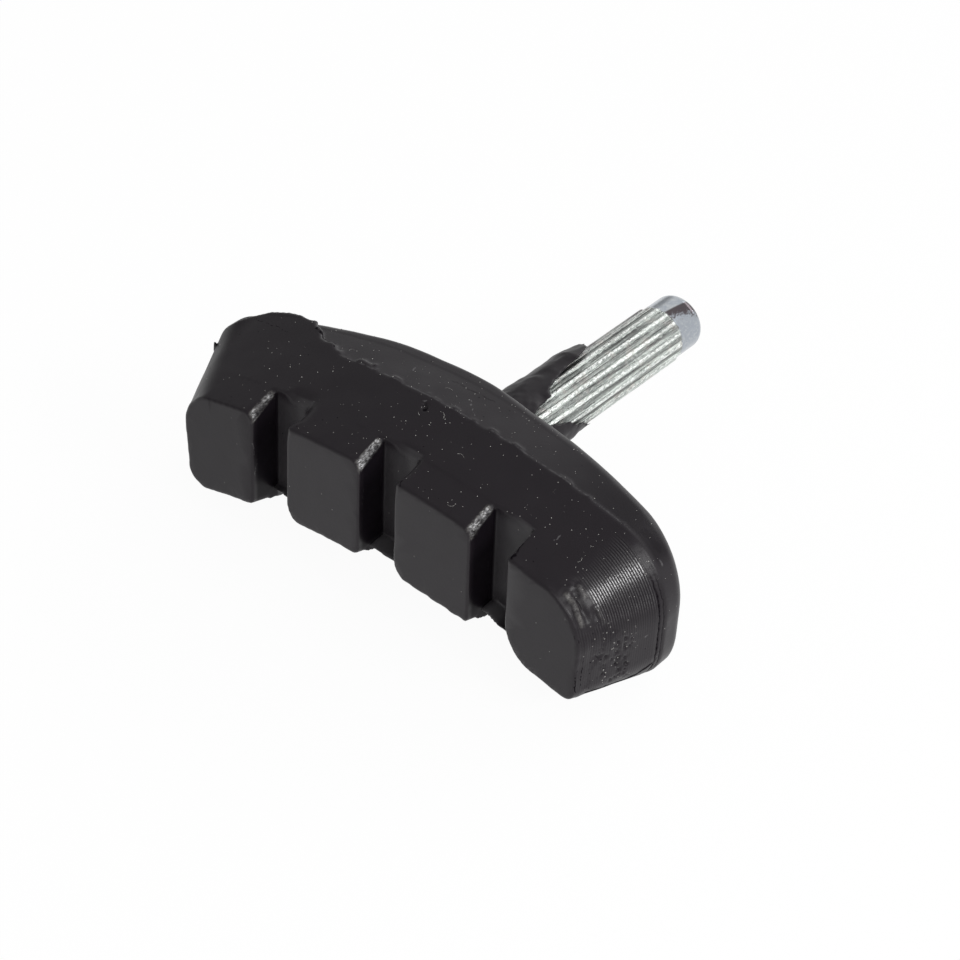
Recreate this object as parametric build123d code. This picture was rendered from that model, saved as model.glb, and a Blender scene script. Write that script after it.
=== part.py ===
from build123d import *
import math
import os

# Rim brake pad: a moulded rubber block on a ridged steel post.
# X runs along the pad, +Y from the friction face towards the post tip, Z up.
# The origin lies on the post axis, in the middle of the plain length at its free end.

# Friction face and the drafted front half, up to the parting plane
face_len = 54.84
face_height = 12.43
face_rise = 1.93
arch_radius = 103.0
end_lean_deg = 2.6
face_top_left_r = 4.0
face_top_right_r = 5.1
face_bottom_right_r = 1.84
face_bottom_left_r = 2.9
parting_top_left_r = 3.8
parting_top_right_r = 7.0
parting_bottom_right_r = 7.0
parting_bottom_left_r = 5.6
front_depth = 10.35
draft_deg = 16.2
left_end_extra_len = 1.6
right_end_extra_len = 0.35

# Grooves between the four lugs
lug_pitch = 15.26
groove_width = 4.95
groove_depth = 3.9
groove_round = 2.3
groove_corner = 0.4
groove_flare = 0.5
ramp_rise = 0.9
foot_trim = 0.1

# Rounded lug corners beside each groove, as shares of one leg length: along the lug, then
# down its wall. Crowns and toes end the lug before a groove, peaks and heels begin the next.
corner_leg = 1.7
crown_shares = [(0.95, 1.0), (1.0, 1.0), (0.65, 1.0)]
toe_shares = [(0.47, 0.41), (0.47, 0.41), (0.47, 0.41)]
peak_shares = [(0.12, 0.12), (0.47, 0.94), (0.41, 0.76)]
heel_shares = [(1.4, 1.6), (1.35, 1.4), (1.2, 2.2)]
crown_end = (0.3, 0.3)
corner_end = (0.12, 0.18)

# Depth of the ramp at the foot of each groove, as a share of the groove's
ramp_shares = [0.77, 0.54, 0.62]

# Back half, bowed in plan
back_depth = 6.9
back_radius = 130.0
back_draft_deg = 2.0
back_round = 1.5

# Parting bead, and the skin of moulding flash over one top corner
bead_width = 0.35
bead_height = 0.15
flash_thick = 0.45
flash_lip = 1.5

# Torn collar of rubber that climbs the post
collar_wall = 0.8
collar_shift = 0.47
collar_shift_deg = 140.5
collar_len = 21.0
collar_taper = 4.4
collar_tip = 0.3

# Steel post: a head held in the rubber, a plain shank, ridges and a plain tip
post_r = 3.5
ridge_height = 0.2
ridge_round = 0.42
ridge_count = 16
ridge_turn_deg = 6.2
core_taper = 0.03
head_r = 5.5
head_thick = 2.5
head_cover = 3.2
post_len = 35.35
ridge_start = 2.5
tip_len = 4.15
tip_round = 1.2

# How far cutters run past the rubber
overcut = 2.0

# Derived places, all measured from the friction face
back_y = front_depth + back_depth
head_y = groove_depth + head_cover
ridge_y = back_y + ridge_start
tip_y = back_y + post_len
ridge_end_y = tip_y - tip_len
mount_y = (ridge_end_y + tip_y - tip_round) / 2
plain_r = post_r - ridge_height
shank_r = plain_r - core_taper
draft = math.tan(math.radians(draft_deg))
groove_xs = [-lug_pitch, 0.0, lug_pitch]
ramp_depths = [share * groove_depth for share in ramp_shares]
face_corners = [face_top_left_r, face_top_right_r, face_bottom_right_r, face_bottom_left_r]
parting_corners = [
    parting_top_left_r,
    parting_top_right_r,
    parting_bottom_right_r,
    parting_bottom_left_r,
]
reach = face_len + post_len

# Sketch plane of the friction face: local x is X, local y is Z, local z is -Y
face_plane = Plane(origin=(0, 0, 0), x_dir=(1, 0, 0), z_dir=(0, -1, 0))


def face_top(x, y=0.0):
    """Height of the arched top surface at x, a depth y behind the face."""
    centre = face_rise + face_height / 2 - arch_radius
    return centre + math.sqrt((arch_radius + draft * y) ** 2 - x * x)


def face_bottom(x, y=0.0):
    """Height of the arched bottom surface at x, a depth y behind the face."""
    centre = face_rise - face_height / 2 - arch_radius
    return centre + math.sqrt((arch_radius - draft * y) ** 2 - x * x)


def outline_corner(side, edge, y):
    """Where a leaning end line meets the top or bottom arc."""
    lean = math.tan(math.radians(end_lean_deg))
    extra_len = left_end_extra_len if side < 0 else right_end_extra_len
    half = face_len / 2 + (draft + extra_len / front_depth) * y
    mid_z = (face_top(face_len / 2) + face_bottom(face_len / 2)) / 2
    x = half
    for _ in range(5):
        x = half + lean * (edge(x, y) - mid_z)
    return (side * x, edge(x, y))


def outline(y, radii):
    """Arched outline of the pad at depth y, with its four corner radii."""
    top_left = outline_corner(-1, face_top, y)
    top_right = outline_corner(1, face_top, y)
    bottom_right = outline_corner(1, face_bottom, y)
    bottom_left = outline_corner(-1, face_bottom, y)
    shape = make_face(
        [
            ThreePointArc(top_left, (0, face_top(0, y)), top_right),
            Line(top_right, bottom_right),
            ThreePointArc(bottom_right, (0, face_bottom(0, y)), bottom_left),
            Line(bottom_left, top_left),
        ]
    )
    for place, radius in zip([top_left, top_right, bottom_right, bottom_left], radii):
        vertex = shape.vertices().sort_by_distance((place[0], place[1], 0))[0]
        shape = fillet(vertex, radius=radius)
    return shape


def parting_outline(grow=0.0):
    """Outline at the parting plane, where the drafted half is widest."""
    return outline(front_depth + grow / draft, [r + grow for r in parting_corners])


def at_depth(shape, y):
    """A sketch laid on the face plane, y behind the friction face."""
    return face_plane * Pos(0, 0, -y) * shape


def along_y(shape, start, length):
    """A sketch of the face plane, drawn out along +Y from start."""
    return extrude(at_depth(shape, start), amount=-length)


def front_half():
    face = at_depth(outline(0, face_corners), 0)
    parting = at_depth(parting_outline(), front_depth)
    return loft([face, parting], ruled=True)


def back_stock(grow, start, length):
    """Stock behind the parting plane, narrowing by the back draft."""
    shrink = length * math.tan(math.radians(back_draft_deg))
    wide = at_depth(parting_outline(grow), start)
    narrow = at_depth(parting_outline(grow - shrink), start + length)
    return loft([wide, narrow], ruled=True)


def bow(short=0.0):
    """Upright cylinder whose wall is the bowed back."""
    return Pos(0, back_y - back_radius, 0) * Cylinder(back_radius - short, reach)


def back_half():
    """Back half with the rounded crest around the bowed face."""
    body = back_stock(0.0, front_depth, back_depth + overcut) & bow()
    bowed = body.faces().filter_by(GeomType.CYLINDER).sort_by(Axis.Y)[-1]
    return fillet(bowed.edges(), radius=back_round)


def groove_plan(low, high):
    """Plan of a groove: square on one side, deeply rounded on the other."""
    floor = groove_depth
    front = -overcut
    plan = make_face(
        Polyline((low, front), (low, floor), (high, floor), (high, front), close=True)
    )
    for place, radius in ((low, groove_corner), (high, groove_round)):
        vertex = plan.vertices().sort_by_distance((place, floor, 0))[0]
        plan = fillet(vertex, radius=radius)
    return plan


def groove(x, ramp_depth):
    """Groove cutter, flared where the floor runs out at the top of the pad."""
    low, high = x - groove_width / 2, x + groove_width / 2
    channel = Pos(0, 0, -reach / 2) * extrude(groove_plan(low, high), amount=reach)
    flare_z = face_top(x, groove_depth) - groove_flare
    mouth = groove_plan(low + 1.5 * groove_flare, high)
    flare = Pos(0, 0, flare_z) * extrude(mouth, amount=2 * groove_flare, taper=-45)
    return (channel & groove_profile(x, ramp_depth)) + flare


def groove_profile(x, ramp_depth):
    """Side profile of a groove, with the ramp and trimmed foot at its lower end."""
    foot = face_bottom(x)
    heel = face_bottom(x, groove_depth)
    side = Plane(origin=(x - groove_width, 0, 0), x_dir=(0, 1, 0), z_dir=(1, 0, 0))
    profile = make_face(
        Polyline(
            (-overcut, heel - overcut),
            (groove_depth, heel - overcut),
            (groove_depth, heel),
            (ramp_depth, foot + foot_trim),
            (groove_depth, foot + ramp_rise),
            (groove_depth, reach / 2),
            (-overcut, reach / 2),
            close=True,
        )
    )
    return extrude(side * profile, amount=2 * groove_width)


def corner_face(x, edge, out_x, shares, y):
    """Spandrel outside a rounded lug corner, drawn at depth y."""
    along, down = shares[0] * corner_leg, shares[1] * corner_leg
    out_z = 1 if edge is face_top else -1
    peak = edge(x, y)
    on_x = (x - out_x * along, edge(x - out_x * along, y))
    on_z = (x, peak - out_z * down)
    fullness = 0.3 if max(shares) < 1.6 * min(shares) else 0.4
    middle = (x - fullness * out_x * along, peak - fullness * out_z * down)
    far_x, far_z = x + out_x * groove_width / 4, peak + out_z * overcut
    edges = [
        ThreePointArc(on_x, middle, on_z),
        Line(on_z, (far_x, on_z[1])),
        Line((far_x, on_z[1]), (far_x, far_z)),
        Line((far_x, far_z), (on_x[0], far_z)),
        Line((on_x[0], far_z), on_x),
    ]
    return at_depth(make_face(edges), y)


def lug_corner(x, out_x, edge, shares, end_shares, depth):
    """Cutter that rounds one lug corner, fading towards the groove floor."""
    front = corner_face(x, edge, out_x, shares, -overcut / 8)
    back = corner_face(x, edge, out_x, end_shares, depth)
    return loft([front, back], ruled=True)


def lug_corners():
    """Rounded corners of the lugs beside each groove."""
    half = groove_width / 2
    cuts = []
    for i, x in enumerate(groove_xs):
        left, right, ramp = x - half, x + half, 0.9 * ramp_depths[i]
        toe_end = (toe_shares[i][0], toe_shares[i][1] + 0.8 * draft * ramp / corner_leg)
        cuts.append(lug_corner(left, 1, face_top, crown_shares[i], crown_end, groove_depth))
        cuts.append(lug_corner(left, 1, face_bottom, toe_shares[i], toe_end, ramp))
        cuts.append(lug_corner(right, -1, face_bottom, heel_shares[i], corner_end, ramp))
        cuts.append(lug_corner(right, -1, face_top, peak_shares[i], corner_end, groove_depth / 2))
    return cuts


def parting_bead():
    """Fine raised line where the two mould halves met."""
    return along_y(parting_outline(bead_height), front_depth - bead_width / 2, bead_width)


def flash_skin():
    """Thin ragged skin of flash over the top corner at the -X end."""
    lip_y = front_depth + flash_lip
    root = at_depth(parting_outline(), front_depth)
    lip = at_depth(parting_outline(flash_thick), lip_y)
    skin = loft([root, lip], ruled=True)
    skin = skin + back_stock(flash_thick, lip_y, back_depth)
    patch = Pos(0, 0, face_rise + face_height / 4) * extrude(flash_plan(), amount=reach)
    return skin & bow(back_round / 4) & patch


def flash_plan():
    """Ragged plan of the flash, as shares of the half length and of the back depth."""
    ragged = [
        (-0.33, 0.0),
        (-0.42, 0.09),
        (-0.48, 0.07),
        (-0.53, 0.17),
        (-0.6, 0.16),
        (-0.635, 0.29),
        (-0.68, 0.32),
        (-0.7, 0.43),
        (-0.75, 0.49),
        (-0.825, 1.0),
    ]
    end = -face_len
    points = [(x * face_len / 2, front_depth + y * back_depth) for x, y in ragged]
    return make_face(Polyline((end, front_depth), *points, (end, back_y), close=True))


def collar():
    """Torn rubber collar, thicker on one side of the post and thinning to its end."""
    turn = math.radians(collar_shift_deg)

    def ring(wall, shift):
        centre = Pos(shift * math.cos(turn), shift * math.sin(turn), 0)
        return centre * Circle(post_r + wall)

    start = front_depth + back_depth / 4
    taper_y = back_y + collar_len - collar_taper
    sleeve = along_y(ring(collar_wall, collar_shift), start, taper_y - start)
    root = at_depth(ring(collar_wall, collar_shift), taper_y)
    tip = at_depth(ring(collar_tip, 0.0), back_y + collar_len)
    sleeve = sleeve + loft([root, tip], ruled=True)
    return sleeve - torn_edge(1, near_tear()) - torn_edge(-1, far_tear())


def near_tear():
    """Torn edge on the upper +X side: shares of the post radius and the collar length."""
    return [
        (1.11, 0.99),
        (1.0, 0.89),
        (0.89, 0.77),
        (0.86, 0.7),
        (0.74, 0.64),
        (0.77, 0.58),
        (0.6, 0.5),
        (0.34, 0.44),
        (0.26, 0.33),
        (0.09, 0.23),
        (-0.26, 0.25),
        (-0.43, 0.4),
        (-0.63, 0.5),
        (-0.8, 0.52),
        (-0.86, 0.58),
        (-1.06, 0.65),
        (-1.11, 0.52),
    ]


def far_tear():
    """Torn edge on the lower -X side, falling evenly around the post."""
    return [
        (1.11, 0.98),
        (0.97, 0.9),
        (0.43, 0.82),
        (0.0, 0.78),
        (-0.4, 0.7),
        (-0.77, 0.64),
        (-1.11, 0.52),
    ]


def torn_edge(side, tear):
    """Cutter above a torn edge, on one side of a plane through the post axis."""
    wide = 3 * post_r
    tall = collar_len + overcut
    edge = [(across * post_r, height * collar_len) for across, height in tear]
    line = [(wide, tall), (wide, edge[0][1]), *edge, (-wide, edge[-1][1]), (-wide, tall)]
    turn = math.radians(collar_shift_deg)
    across = (math.cos(turn), 0, math.sin(turn))
    outward = (side * math.sin(turn), 0, -side * math.cos(turn))
    plane = Plane(origin=(0, back_y, 0), x_dir=across, z_dir=outward)
    points = [(s, -side * h) for s, h in line]
    return extrude(plane * make_face(Polyline(*points, close=True)), amount=wide)


def ridge(angle_deg):
    """One straight raised ridge with a rounded end."""
    turn = math.radians(angle_deg)
    centre_r = post_r - ridge_round
    centre = Pos(centre_r * math.cos(turn), centre_r * math.sin(turn), 0)
    end_y = ridge_end_y - ridge_round
    rod = along_y(centre * Circle(ridge_round), ridge_y, end_y - ridge_y)
    knob = Pos(centre_r * math.cos(turn), end_y, centre_r * math.sin(turn)) * Sphere(ridge_round)
    return rod + knob


def steel_post():
    """One turned and rolled pin with an upset head."""
    head = along_y(Circle(head_r), head_y, head_thick)
    head = fillet(head.edges().filter_by(GeomType.CIRCLE), radius=head_thick / 5)
    shank_start = head_y + head_thick / 2
    shank = along_y(Circle(shank_r), shank_start, ridge_y - shank_start)
    root = at_depth(Circle(shank_r), ridge_y)
    core = loft([root, at_depth(Circle(plain_r), ridge_end_y)], ruled=True)
    tip = along_y(Circle(plain_r), ridge_end_y, tip_len)
    rim = tip.edges().filter_by(GeomType.CIRCLE).sort_by(Axis.Y)[-1]
    tip = fillet(rim, radius=tip_round)
    post = head + shank + core + tip
    for i in range(ridge_count):
        post = post + ridge(ridge_turn_deg + i * 360 / ridge_count)
    return post


def rubber_pad(post):
    """Moulded block, lugs and collar, with the post's own shape left in it."""
    pad = front_half() + back_half()
    pad = pad + flash_skin() + parting_bead()
    for x, ramp_depth in zip(groove_xs, ramp_depths):
        pad = pad - groove(x, ramp_depth)
    for cut in lug_corners():
        pad = pad - cut
    return pad + collar() - post


def placed(shape):
    """Shape moved so that the middle of the post's plain free end is the origin."""
    return Pos(0, -mount_y, 0) * shape


def main():
    os.makedirs("parts", exist_ok=True)
    post = steel_post()
    pad = rubber_pad(post)
    export_step(placed(pad), "parts/rubber_pad.step")
    export_step(placed(post), "parts/steel_post.step")


main()
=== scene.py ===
import bpy
import itertools
import math
import numpy as np
from mathutils import Matrix, Vector


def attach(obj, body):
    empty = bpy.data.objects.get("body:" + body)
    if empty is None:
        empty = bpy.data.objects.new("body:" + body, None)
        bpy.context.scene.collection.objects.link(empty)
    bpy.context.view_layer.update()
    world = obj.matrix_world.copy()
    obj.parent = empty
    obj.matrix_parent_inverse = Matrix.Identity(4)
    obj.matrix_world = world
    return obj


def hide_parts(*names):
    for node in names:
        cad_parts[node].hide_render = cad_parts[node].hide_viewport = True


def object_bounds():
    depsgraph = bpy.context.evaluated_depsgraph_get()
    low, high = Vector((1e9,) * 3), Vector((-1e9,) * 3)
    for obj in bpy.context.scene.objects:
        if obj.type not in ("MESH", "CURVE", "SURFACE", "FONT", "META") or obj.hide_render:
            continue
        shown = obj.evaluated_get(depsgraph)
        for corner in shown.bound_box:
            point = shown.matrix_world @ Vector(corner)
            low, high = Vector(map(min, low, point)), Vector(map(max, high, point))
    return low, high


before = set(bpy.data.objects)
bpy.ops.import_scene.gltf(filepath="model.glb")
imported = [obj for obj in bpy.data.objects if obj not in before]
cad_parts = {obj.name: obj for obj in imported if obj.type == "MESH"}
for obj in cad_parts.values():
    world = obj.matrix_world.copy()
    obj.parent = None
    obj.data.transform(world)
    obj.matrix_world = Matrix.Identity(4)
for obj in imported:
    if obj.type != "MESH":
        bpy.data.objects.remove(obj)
cad_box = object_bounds()

# Rubber pad: one block of black brake rubber, moulded in a two-part mould round the head of the post.
# It has four lugs on its friction face, flash left over one top corner, and a torn collar up the post.
# Its surface is drawn from the distance to the mould's walls, in mm behind the friction face.
FACE_LEN = 54.84
FACE_HEIGHT = 12.43
FACE_RISE = 1.93
ARCH = 103.0
END_LEAN = math.tan(math.radians(2.6))
END_MID_Z = -1.79
FRONT_DEPTH = 10.35
FRONT_DRAFT = math.tan(math.radians(16.2))
LEFT_EXTRA = 1.6
RIGHT_EXTRA = 0.35
FACE_CORNERS = (4.0, 5.1, 1.84, 2.9)
PARTING_CORNERS = (3.0, 7.0, 7.0, 5.6)
BACK_Y = 17.25
BACK_BOW = 130.0
BACK_DRAFT = math.tan(math.radians(1.0))
BACK_ROUNDS = (1.5, 0.65)
TOP_Z = FACE_RISE + FACE_HEIGHT / 2
BOTTOM_Z = FACE_RISE - FACE_HEIGHT / 2 - 0.08
LUG_PITCH = 15.26
GROOVES_X = (-LUG_PITCH, 0.0, LUG_PITCH)
GROOVE_WIDTH = 4.95
GROOVE_DEPTH = 3.9
GROOVE_ROUNDS = (0.8, 0.3, 0.25)
GROOVE_SKEWS = (0.0, 0.0, 0.09)
GROOVE_SOFTS = (1.6, 1.0, 0.15)
SHELVES = ((2.85, 0.37), (1.42, 0.51), (1.83, 0.63))
SHELF_LIFTS = (0.45, 0.2, 0.5)
CROWN_ROUNDS = (1.45, 1.5, 1.25)
FACET_LEG = 0.5
FACET_WEAR = (0.52, 0.92, 0.62)
FACE_EDGE_ROUND = 0.16
TOE_ROUND = 0.8
PEAK_ROUNDS = (0.5, 0.7, 0.5)
HEEL_LEGS = ((2.0, 2.72), (2.2, 2.3), (3.6, 4.3))
FLASH_X = (-40, -31.5, -30.8, -30, -29, -27.2, -25, -23.4, -21, -19.5, -18.3, -16.6, -15.3, -13.2, -11.5, -9,
           -4, 0, 4, 8, 16, 24, 27, 40)
FLASH_REACH = (0.1, 0.1, 0.25, 0.8, 1.75, 2.95, 3.55, 3.67, 3.45, 2.45, 1.75, 1.15, 0.95, 0.75, 0.85, 0.6,
               0.65, 0.5, 0.55, 0.45, 0.45, 0.35, -0.3, -0.3)
FLASH_LOWEST = 4.5
FLASH_SHORT = 0.375
FLASH_ROUND = 0.3
POST_R = 3.5
HOLE_R = 3.3
HEAD = (5.5, 7.1, 9.6)
COLLAR_R = 4.3
COLLAR_TIP_R = 4.1
COLLAR_LEN = 21.0
COLLAR_TAPER = 4.4
COLLAR_SHIFT = 0.47
COLLAR_TURN = math.radians(140.5)
COLLAR_ROOT_Y = 12
COLLAR_BLEND = 0.3
NEAR_TEAR = ((-1.11, 0.56), (-1.06, 0.7), (-0.86, 0.61), (-0.8, 0.54), (-0.63, 0.5), (-0.43, 0.4),
             (-0.26, 0.25), (0.09, 0.23), (0.26, 0.33), (0.34, 0.44), (0.6, 0.5), (0.75, 0.61),
             (0.86, 0.74), (0.89, 0.82), (1.0, 0.92), (1.11, 0.95))
FAR_TEAR = ((-1.11, 0.56), (-0.77, 0.66), (-0.4, 0.7), (0.0, 0.78), (0.43, 0.82), (0.97, 0.9), (1.11, 0.95))
NIB = ((-31.15, 8.4, 4.75), (-31.3, 8.6, 3.6))
NIB_R = 0.24
TORN_RIDGES = (((24.8, 1.1, 5.2), (25.7, 1.2, 4.3), 0.42, 0.22),
               ((25.7, 1.2, 4.3), (26.4, 1.0, 3.6), 0.46, 0.26),
               ((26.4, 1.0, 3.6), (27.0, 1.0, 2.4), 0.38, 0.26),
               ((25.1, 2.6, 5.4), (26.1, 2.7, 4.5), 0.32, 0.13),
               ((27.3, 3.1, 3.3), (28.0, 3.2, 2.0), 0.3, 0.11))
TORN_GAP = ((25.2, 1.8, 5.0), (27.1, 1.7, 2.8))
FLUTED_EDGE = ((27.5, 0.9, 1.4), (27.4, 1.0, -7.0))
SEAMS_Y = (9.55, 10.05)
SEAM_DEPTH = 0.12
SEAM_HALF_WIDTH = 0.13
TOP_PITS = ((-1.5, 9.3, 10.9, 0.36), (-1.2, 8.9, 10.8, 0.2), (-1.8, 9.6, 10.95, 0.22))
END_PITS = 34
PITS_SEED = 41
SWELLS = ((0.07, 5.5, 1), (0.03, 1.9, 2))
LIP_BUMPS = ((0.11, 1.5, 3), (0.06, 0.7, 4))
UNDER_BUMPS = ((0.14, 0.9, 5),)
FLASH_RAGS = ((0.35, 1.3, 6), (0.2, 0.6, 7))
NIB_BUMPS = ((0.15, 0.6, 8),)
COLLAR_BUMPS = ((0.14, 1.7, 21), (0.06, 0.7, 22))
TEAR_RAGS = ((0.5, 1.0, 23), (0.25, 0.5, 24))
RAGGED_SCALE = 0.6
CUTTER_REACH = 0.2
PAD_REACH = (31.06, -32.53, 11.29, -10.77)
MOUNT_Y = 49.925
MM = 0.001
GRID = 0.2
COARSE = 4
BAND = 1.6


def rounded(a, b, radius):
    """Outside edge between two faces, rounded to that radius."""
    corner = np.hypot(np.maximum(a + radius, 0), np.maximum(b + radius, 0))
    return np.minimum(np.maximum(a, b), -radius) + corner


def blended(a, b, width):
    """Outside edge between two faces, worn off over that width."""
    mix = np.clip(0.5 + 0.5 * (a - b) / width, 0, 1)
    return b + (a - b) * mix + width * mix * (1 - mix)


def ease(value, low, high):
    """0 below low, 1 above high, smooth between them; falls where low is the larger."""
    share = np.clip((value - low) / (high - low), 0, 1)
    return share * share * (3 - 2 * share)


def lumps(x, y, z, size, seed):
    """Smooth random bumps of about that size, from -1 to 1."""
    table = np.random.default_rng(seed).uniform(-1, 1, (32, 32, 32)).astype(np.float32)
    cells, shares = [], []
    for c in (x, y, z):
        at = c / size
        low = np.floor(at)
        cells.append(low.astype(np.int32))
        shares.append(ease(at - low, 0, 1))
    total = 0
    for i, j, k in itertools.product((0, 1), repeat=3):
        weight = 1
        for step, share in zip((i, j, k), shares):
            weight = weight * (share if step else 1 - share)
        total = total + weight * table[(cells[0] + i) & 31, (cells[1] + j) & 31, (cells[2] + k) & 31]
    return total


def bumps(x, y, z, layers):
    """Sum of layers of random bumps, each given as height, size and seed."""
    return sum(rise * lumps(x, y, z, size, seed) for rise, size, seed in layers)


def near_line(x, y, z, ends):
    """Distance to the straight line between two ends."""
    a, b = np.array(ends)
    run = b - a
    share = np.clip(((x - a[0]) * run[0] + (y - a[1]) * run[1] + (z - a[2]) * run[2]) / run.dot(run), 0, 1)
    gaps = [c - a[i] - share * run[i] for i, c in enumerate((x, y, z))]
    return np.sqrt(gaps[0] ** 2 + gaps[1] ** 2 + gaps[2] ** 2)


def outline(x, z, deep, top_deep):
    """Distance outside the arched outline of the front mould half, with its top and bottom alone."""
    grow = FRONT_DRAFT * deep
    share = np.clip(deep / FRONT_DEPTH, 0, 1)
    top = np.hypot(x, z - TOP_Z + ARCH) - ARCH - FRONT_DRAFT * top_deep
    bottom = ARCH - grow - np.hypot(x, z - BOTTOM_Z + ARCH)
    lean = END_LEAN * (z - END_MID_Z)
    right = x - lean - FACE_LEN / 2 - grow - RIGHT_EXTRA * share
    left = -x - lean - FACE_LEN / 2 - grow - 0.2 - (LEFT_EXTRA - 0.2) * share
    radii = [a + (b - a) * share for a, b in zip(FACE_CORNERS, PARTING_CORNERS)]
    edge = rounded(top, left, radii[0])
    for pair, radius in zip(((top, right), (bottom, right), (bottom, left)), radii[1:]):
        edge = np.maximum(edge, rounded(*pair, radius))
    return edge, top, bottom


def collar(x, y, z):
    """Distance outside the torn rubber collar on the post."""
    end = BACK_Y + COLLAR_LEN
    taper = np.clip((y - end + COLLAR_TAPER) / COLLAR_TAPER, 0, 1)
    shift = COLLAR_SHIFT * (1 - taper)
    cos, sin = math.cos(COLLAR_TURN), math.sin(COLLAR_TURN)
    sleeve = np.hypot(x - shift * cos, z - shift * sin) - COLLAR_R + (COLLAR_R - COLLAR_TIP_R) * taper
    for rise, size, seed in COLLAR_BUMPS:
        sleeve = sleeve + rise * lumps(x, y, z, size, seed)
    across = (x * cos + z * sin) / POST_R
    near = x * sin - z * cos > 0
    tear = np.where(near, np.interp(across, *zip(*NEAR_TEAR)), np.interp(across, *zip(*FAR_TEAR)))
    torn = RAGGED_SCALE * (y - BACK_Y - COLLAR_LEN * tear + bumps(x, y, z, TEAR_RAGS))
    return np.maximum(np.maximum(sleeve, torn), COLLAR_ROOT_Y - y)


def flash_skin(x, y, z, deep, back, swell):
    """Distance outside the ragged skin of flash that laps over the back half's top."""
    over = np.maximum(y - FRONT_DEPTH, 0)
    lifted = deep + np.minimum(over, 1.0) + 0.129 * np.clip(over - 1.0, 0, 4)
    skin = outline(x, z, lifted, deep + over)[0] + swell
    ragged = 1.4 * bumps(x, y, z, FLASH_RAGS) * ease(x, -24, -19)
    end = over - np.interp(x, FLASH_X, FLASH_REACH) + ragged
    skin = rounded(skin, RAGGED_SCALE * end, FLASH_ROUND)
    skin = np.maximum(skin, np.maximum(FLASH_LOWEST - z, FRONT_DEPTH - 1 - y))
    return np.maximum(skin, back + FLASH_SHORT)


def with_grooves(block, x, y, z, top, bottom):
    """The block with grooves cut and lug corners rounded, and how scuffed those corners are."""
    scuff = 0 * x
    low_arc = ARCH - np.hypot(x, z - BOTTOM_Z + ARCH)
    for i, at in enumerate(GROOVES_X):
        near = x - at + GROOVE_WIDTH / 2
        far = at + GROOVE_WIDTH / 2 - x
        shelf_y, shelf_rise = SHELVES[i]
        height = -low_arc - shelf_rise - SHELF_LIFTS[i] * ease(near, 2.6, 0.6)
        floor = y - GROOVE_DEPTH - GROOVE_SKEWS[i] * np.clip(near, 0, 5)
        above = np.maximum(-near, rounded(-far, floor, GROOVE_ROUNDS[i]))
        above = np.maximum(above, 0.08 * (y - shelf_y) - height)
        below = np.maximum(np.maximum(-near, -far), 0.74 * (height + 0.9 * (y - shelf_y)))
        hollow = np.minimum(above, below) + 0.03 * lumps(x, y, z, 1.2, 30 + i)
        soft = 0.1 + (GROOVE_SOFTS[i] * ease(near, 1.0, 2.6) * ease(top, -2.4, -0.6)
                      * (0.3 + 0.7 * ease(y, 0.3, 2)))
        block = blended(block, -hollow, soft)
        share = np.clip(y / GROOVE_DEPTH, 0, 1)
        reach = CROWN_ROUNDS[i] * (1 - 0.66 * share)
        crown = rounded(top, near, reach)
        steep = 0.785 - 0.32 * share
        facet = (near + FACET_LEG) * steep + (top + 0.25 - 0.2 * share) * np.sqrt(1 - steep * steep)
        facet = facet + 0.07 * lumps(x, 0.4 * y, z, 0.35, 33 + i)
        crown = np.maximum(crown, facet)
        block = np.maximum(block, np.minimum(crown, np.minimum(CUTTER_REACH - near, GROOVE_DEPTH - y)))
        bare = ease(near, -FACET_LEG - 0.2, -FACET_LEG) * ease(top, -reach - 0.1, -reach + 0.15)
        bare = FACET_WEAR[i] * bare * ease(near, 0.4, 0.2) * ease(y, 3.7, 3.2) * ease(y, 0.0, 0.4)
        scuff = np.maximum(scuff, bare)
        toe = rounded(bottom, near, TOE_ROUND)
        block = np.maximum(block, np.minimum(toe, np.minimum(CUTTER_REACH - near, shelf_y - y)))
        peak = rounded(top, far, PEAK_ROUNDS[i] * np.clip(1 - y / GROOVE_DEPTH, 0.1, 1))
        block = np.maximum(block, np.minimum(peak, np.minimum(CUTTER_REACH - far, GROOVE_DEPTH - 1 - y)))
        wide, tall = HEEL_LEGS[i]
        heel = rounded(far * tall / wide, bottom, tall)
        block = np.maximum(block, np.minimum(heel, np.minimum(CUTTER_REACH - far, shelf_y - y)))
    return block, scuff


def with_chips(block, scuff, x, y, z):
    """The block torn at its right front corner and fluted down the edge below, and its scuffs."""
    gap = near_line(x, y, z, TORN_GAP)
    block = block + 0.19 * ease(gap, 0.5, 0.1) + ease(gap, 2.0, 1.0) * 0.14 * lumps(x, y, z, 0.7, 50)
    for start, end, width, rise in TORN_RIDGES:
        ridge = ease(near_line(x, y, z, (start, end)), width, 0.15)
        block = block - ridge * (rise + 0.34 * lumps(x, y, z, 0.6, 51))
        scuff = np.maximum(scuff, rise * ridge * (1 + 0.5 * lumps(x, y, z, 0.5, 53)))
    flutes = ease(near_line(x, y, z, FLUTED_EDGE), 1.5, 0.7)
    return block + flutes * (0.02 + 0.07 * lumps(x, y, z / 12, 0.5, 52)), scuff


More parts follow.
